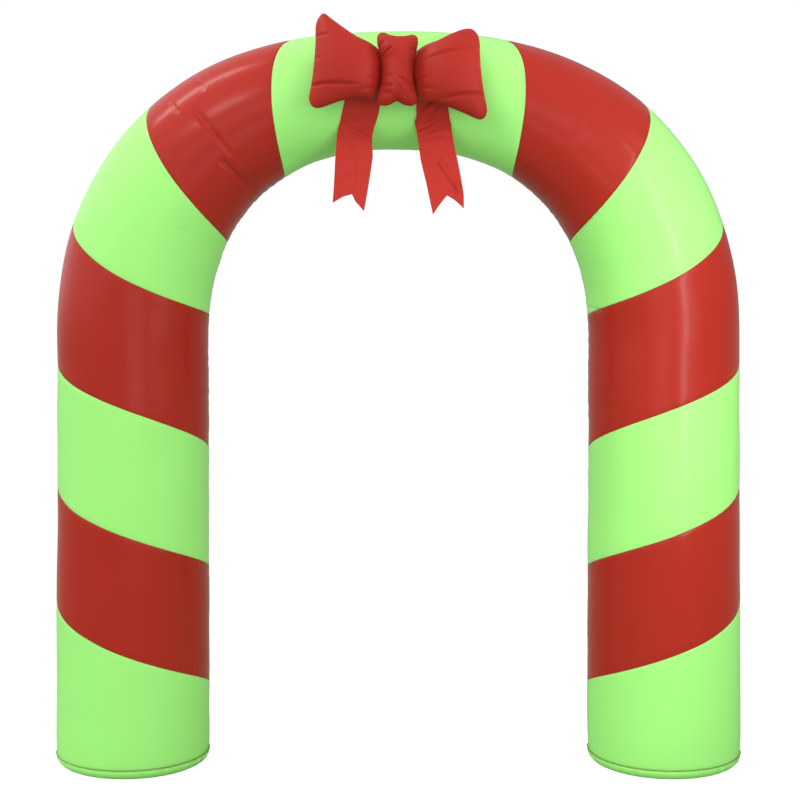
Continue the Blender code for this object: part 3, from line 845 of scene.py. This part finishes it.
def stitch_nodes():
    """A node group that sets stitches end to end along its edges."""
    group = bpy.data.node_groups.new("stitches", "GeometryNodeTree")
    kinds = {"Paths": "Geometry", "Pitch": "Float", "Size": "Vector", "Thread": "Material"}
    for name, kind in kinds.items():
        group.interface.new_socket(name, in_out="INPUT", socket_type="NodeSocket" + kind)
    group.interface.new_socket("Stitches", in_out="OUTPUT", socket_type="NodeSocketGeometry")
    new = group.nodes.new
    given = new("NodeGroupInput")
    curves = new("GeometryNodeMeshToCurve")
    even = new("GeometryNodeResampleCurve")
    even.mode = "LENGTH"
    tangent = new("GeometryNodeInputTangent")
    turned = new("FunctionNodeAlignRotationToVector")
    turned.axis = "X"
    bead = new("GeometryNodeMeshUVSphere")
    for name, value in {"Segments": 6, "Rings": 4, "Radius": 0.5}.items():
        bead.inputs[name].default_value = value
    placed = new("GeometryNodeInstanceOnPoints")
    real = new("GeometryNodeRealizeInstances")
    dyed = new("GeometryNodeSetMaterial")
    made = new("NodeGroupOutput")
    wires = (
        (given, "Paths", curves, "Mesh"),
        (curves, "Curve", even, "Curve"),
        (given, "Pitch", even, "Length"),
        (tangent, "Tangent", turned, "Vector"),
        (even, "Curve", placed, "Points"),
        (bead, "Mesh", placed, "Instance"),
        (turned, "Rotation", placed, "Rotation"),
        (given, "Size", placed, "Scale"),
        (placed, "Instances", real, "Geometry"),
        (real, "Geometry", dyed, "Geometry"),
        (given, "Thread", dyed, "Material"),
        (dyed, "Geometry", made, "Stitches"),
    )
    for source, output, target, socket in wires:
        group.links.new(source.outputs[output], target.inputs[socket])
    return group


def make_stitches(thread):
    """Every seam's stitches as one piece."""
    around = turns(COLUMNS)
    points, edges = [], []
    for seam in SEAMS[1:]:
        for side in ("left", "right"):
            ring = skin(seam_line(seam, side)(around), around, -STITCH_DEPTH)
            first = len(points)
            points += ring.tolist()
            edges += [(first + i, first + (i + 1) % COLUMNS) for i in range(COLUMNS)]
    mesh = bpy.data.meshes.new("seam_paths")
    mesh.from_pydata(points, edges, [])
    paths = add_object("seam_paths", mesh)
    group = stitch_nodes()
    sewn = paths.modifiers.new("sewn", "NODES")
    sewn.node_group = group
    size = (STITCH_LENGTH, 2 * STITCH_RADIUS, 2 * STITCH_RADIUS)
    values = {"Pitch": STITCH_PITCH, "Size": size, "Thread": thread}
    for item in group.interface.items_tree:
        if item.in_out == "INPUT" and item.name in values:
            sewn[item.identifier] = values[item.name]
    paths.update_tag()
    evaluated = paths.evaluated_get(bpy.context.evaluated_depsgraph_get())
    stitched = bpy.data.meshes.new_from_object(evaluated)
    stitched.name = "seam_stitches"
    bpy.data.objects.remove(paths)
    stitches = add_object("seam_stitches", stitched)
    stitched.shade_smooth()
    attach(stitches, "root")


# --- Shaders


class Socket:
    """A socket of a shader's node tree; sums and products of it add Math nodes."""

    def __init__(self, shader, link):
        self.shader = shader
        self.link = link

    def __add__(self, other):
        return self.shader.math("ADD", self, other)

    __radd__ = __add__

    def __mul__(self, other):
        return self.shader.math("MULTIPLY", self, other)

    __rmul__ = __mul__

    def __sub__(self, other):
        return self.shader.math("SUBTRACT", self, other)

    def __rsub__(self, other):
        return self.shader.math("SUBTRACT", other, self)


class Shader:
    """Nodes that lead to the last one of a tree, which a material or a world owns."""

    def __init__(self, owner, last="Principled BSDF"):
        owner.use_nodes = True
        self.owner = owner
        self.tree = owner.node_tree
        self.last = self.tree.nodes[last]

    def put(self, socket, value):
        if isinstance(value, Socket):
            self.tree.links.new(value.link, socket)
        else:
            socket.default_value = value

    def node(self, kind, output, settings=(), values=()):
        """The named output of a new node, its settings made before its sockets are filled."""
        made = self.tree.nodes.new(kind)
        for name, value in dict(settings).items():
            setattr(made, name, value)
        for name, value in dict(values).items():
            self.put(made.inputs[name], value)
        return Socket(self, made.outputs[output])

    def math(self, operation, *values):
        return self.node("ShaderNodeMath", "Value", {"operation": operation}, dict(enumerate(values)))

    def mix(self, share, first, second):
        values = {"Factor": share, 6: first, 7: second}
        return self.node("ShaderNodeMix", 2, {"data_type": "RGBA"}, values)

    def finish(self, **values):
        for name, value in values.items():
            self.put(self.last.inputs[name.replace("_", " ")], value)
        return self.owner


FABRICS = {
    # name, colour, deeper colour in its clouds, roughness, gloss
    "green": ("green_coated_nylon", (0.362, 0.846, 0.214, 1), (0.342, 0.806, 0.196, 1), 0.24, 0.13),
    "red": ("red_coated_nylon", (0.391, 0.024, 0.0145, 1), (0.360, 0.0208, 0.0119, 1), 0.23, 0.14),
    "bow": ("red_bow_cloth", (0.378, 0.0235, 0.0155, 1), (0.334, 0.020, 0.0132, 1), 0.48, 0.10),
    # the ribbons are the bow's red cloth painted lighter: a painted highlight for the light their
    # hanging ends catch
    "ribbon": ("red_ribbon_cloth_painted_lighter", (0.500, 0.032, 0.0225, 1), (0.465, 0.028, 0.0195, 1), 0.48, 0.12),
}
OLIVE_PIPING = (0.20, 0.31, 0.065, 1)
# dark olive thread whose darkness also stands in for the shade in the seams' grooves: thread and painted
# shade
OLIVE_THREAD_AND_SEAM_SHADE = (0.19, 0.16, 0.055, 1)
TRIM_ROUGHNESS = 0.6
WEAVE_PITCH = 0.0016
WEAVE_HEIGHT = 0.000006
CRINKLE_HEIGHT = 0.00006
CRINKLE_SCALE = 60.0
CLOUD_SCALE = 3.0
CLOUD_ROUGHNESS = 0.06  # how far the roughness varies with the clouds
GRAIN_SCALE = 400.0
GRAIN_SHADE = 0.8


def woven_height(shader):
    """A plain weave's height, from the fabric coordinates."""
    place = shader.node("ShaderNodeUVMap", "UV", {"uv_map": "cloth"})
    u = shader.node("ShaderNodeSeparateXYZ", "X", (), {"Vector": place})
    v = shader.node("ShaderNodeSeparateXYZ", "Y", (), {"Vector": place})
    number = 2 * math.pi / WEAVE_PITCH
    return shader.math("SINE", u * number) * shader.math("SINE", v * number)


def noise(shader, scale, detail=2.0, roughness=0.5):
    place = shader.node("ShaderNodeTexCoord", "Object")
    values = {"Vector": place, "Scale": scale, "Detail": detail, "Roughness": roughness}
    return shader.node("ShaderNodeTexNoise", "Fac", (), values)


def coated_fabric(name, colour, deep, roughness, gloss):
    """Thin coated nylon: even colour with faint clouds in it, a fine weave and a soft gloss."""
    shader = Shader(bpy.data.materials.new(name))
    clouds = noise(shader, CLOUD_SCALE, detail=3.0)
    crinkle = noise(shader, CRINKLE_SCALE, detail=4.0, roughness=0.6)
    height = woven_height(shader) * WEAVE_HEIGHT + crinkle * CRINKLE_HEIGHT
    values = {"Strength": 1.0, "Distance": 1.0, "Height": height}
    bump = shader.node("ShaderNodeBump", "Normal", (), values)
    return shader.finish(
        Base_Color=shader.mix(clouds, deep, colour),
        Roughness=roughness + CLOUD_ROUGHNESS * (clouds - 0.5),
        Specular_IOR_Level=gloss,
        Normal=bump,
    )


def plain_finish(name, colour):
    shader = Shader(bpy.data.materials.new(name))
    grain = noise(shader, GRAIN_SCALE)
    darker = tuple(GRAIN_SHADE * channel for channel in colour[:3]) + (1,)
    return shader.finish(Base_Color=shader.mix(grain, darker, colour), Roughness=TRIM_ROUGHNESS)


# --- Floor, light and camera

CAMERA_BACK = 6.042  # in front of the tube's centreline
CAMERA_HEIGHT = 1.874
CAMERA_PITCH = 0.1057  # downwards, in radians
CAMERA_LENS = 81.58
CAMERA_SHIFT = 0.0019

AMBIENT = 0.18  # the room above the floor, all round
FLOOR_LIGHT = 0.48  # and the pale ground far off
FLOOR_TINT = (0.84, 1.0, 0.82, 1)  # of its light, from the green tube above it
FLOOR_COLOUR = (0.36, 0.45, 0.34, 1)  # and of the floor near by, for the same reason
HORIZON_SLOPE = 7.0  # how sharply the room's light gives way to the ground's
HORIZON_SHARE = 0.57  # share of the room's light at the horizon
BACKDROP = 1.02  # seen by the camera, a little over white
ROOM = (
    # axis, direction, strength of the broad light from there
    ("X", -1.0, 1.24),
    ("X", 1.0, 0.11),
    ("Y", -1.0, 0.67),
    ("Z", 1.0, 0.55),
)
FLOOR_FADE_FROM = 2.2  # the floor fades into the white backdrop
FLOOR_FADE_TO = 3.4
FLOOR_MARGIN = 0.1  # clear floor past there
FLOOR_GLOW = 0.90  # added for the camera alone, for a white ground

LIGHTS = (
    # name, place, aim, width, height, spread, watts
    ("side_strip", (1.53, -1.50, 1.78), (0.9, 0.0, 1.58), 0.16, 2.2, 76, 2.9),
    ("front_softbox", (0.0, -6.5, 3.5), (0.0, 0.0, 1.4), 3.0, 2.0, 180, 24),
    ("low_front_softbox", (0.0, -5.0, 0.9), (0.0, 0.0, 1.9), 2.4, 1.0, 180, 14),
    ("upper_left_softbox", (-1.60, -2.64, 4.43), (-0.45, 0.0, 2.0), 0.95, 0.5, 180, 17),
    ("top_left_strip", (-2.2, 0.1, 4.8), (-0.6, 0.0, 2.0), 0.23, 1.6, 180, 30),
    ("high_right_softbox", (3.0, -1.5, 3.6), (0.6, 0.0, 2.0), 1.2, 1.2, 180, 7.5),
    ("right_softbox", (2.6, -3.4, 2.2), (0.2, 0.0, 2.0), 2.4, 2.2, 180, 37),
    ("bow_side_softbox", (0.90, -0.43, 2.44), (0.27, -0.33, 2.39), 0.25, 0.30, 30, 0.17),
)


def make_stage():
    mesh = bpy.data.meshes.new("floor")
    size = FLOOR_FADE_TO + FLOOR_MARGIN
    corners = [(-size, -size, 0), (size, -size, 0), (size, size, 0), (-size, size, 0)]
    mesh.from_pydata(corners, [], [(0, 1, 2, 3)])
    floor = add_object("floor", mesh)
    shader = Shader(bpy.data.materials.new("pale_floor"))
    place = shader.node("ShaderNodeTexCoord", "Object")
    away = shader.node("ShaderNodeVectorMath", "Value", {"operation": "LENGTH"}, {0: place})
    span = {"From Min": FLOOR_FADE_FROM, "From Max": FLOOR_FADE_TO, "To Min": 1.0, "To Max": 0.0}
    smooth = {"interpolation_type": "SMOOTHSTEP"}
    alpha = shader.node("ShaderNodeMapRange", "Result", smooth, {"Value": away, **span})
    seen = shader.node("ShaderNodeLightPath", "Is Camera Ray")
    mesh.materials.append(
        shader.finish(
            Base_Color=FLOOR_COLOUR,
            Roughness=0.8,
            Specular_IOR_Level=0.0,
            Emission_Color=shader.mix(seen, (0, 0, 0, 1), (1, 1, 1, 1)),
            Emission_Strength=FLOOR_GLOW,
            Alpha=alpha,
        )
    )


def make_room():
    """White to the camera; to the model a dim room with broad soft light from some sides."""
    room = Shader(bpy.data.worlds.new("studio"), "Background")
    towards = room.node("ShaderNodeTexCoord", "Generated")
    glow = AMBIENT
    for axis, direction, strength in ROOM:
        facing = room.node("ShaderNodeSeparateXYZ", axis, (), {"Vector": towards}) * direction
        glow = glow + strength * room.math("MAXIMUM", facing, 0.0)
    height = room.node("ShaderNodeSeparateXYZ", "Z", (), {"Vector": towards})
    above = room.math("MINIMUM", 1.0, HORIZON_SLOPE * height + HORIZON_SHARE)
    above = room.math("MAXIMUM", 0.0, above)
    glow = above * glow + (1 - above) * FLOOR_LIGHT
    seen = room.node("ShaderNodeLightPath", "Is Camera Ray")
    bpy.context.scene.world = room.finish(
        Color=room.mix(room.math("MAXIMUM", above, seen), FLOOR_TINT, (1, 1, 1, 1)),
        Strength=room.math("MAXIMUM", glow, seen * BACKDROP),
    )


def make_lights():
    for name, place, aim, width, height, spread, watts in LIGHTS:
        lamp = bpy.data.lights.new(name, "AREA")
        lamp.shape = "RECTANGLE"
        lamp.size = width
        lamp.size_y = height
        lamp.spread = math.radians(spread)
        lamp.energy = watts
        light = add_object(name, lamp)
        light.location = (place[0], place[1] + AXIS_Y, place[2])
        towards = Vector(aim) + Vector((0, AXIS_Y, 0)) - light.location
        light.rotation_euler = towards.to_track_quat("-Z", "Y").to_euler()
        light.visible_camera = False


def make_camera():
    lens = bpy.data.cameras.new("camera")
    lens.lens = CAMERA_LENS
    lens.shift_x = CAMERA_SHIFT
    camera = add_object("camera", lens)
    camera.location = (0, AXIS_Y - CAMERA_BACK, CAMERA_HEIGHT)
    camera.rotation_euler = (math.pi / 2 - CAMERA_PITCH, 0, 0)
    bpy.context.scene.camera = camera


make_camera()
make_stage()
make_room()
make_lights()
bpy.context.scene.view_settings.view_transform = "Standard"
fabrics = {use: coated_fabric(*finish) for use, finish in FABRICS.items()}
piping = plain_finish("olive_piping", OLIVE_PIPING)
make_tube(fabrics)
for side in ("left", "right"):
    make_foot(side, fabrics["green"], piping)
make_bow(fabrics["bow"])
# the ribbons' cloth is the bow's red painted lighter, a painted highlight
for side in ("left", "right"):
    make_tail(side, fabrics["ribbon"])
# the seams' thread, dark enough to paint the shade of the seam grooves as well
make_stitches(plain_finish("olive_thread_and_seam_shade", OLIVE_THREAD_AND_SEAM_SHADE))
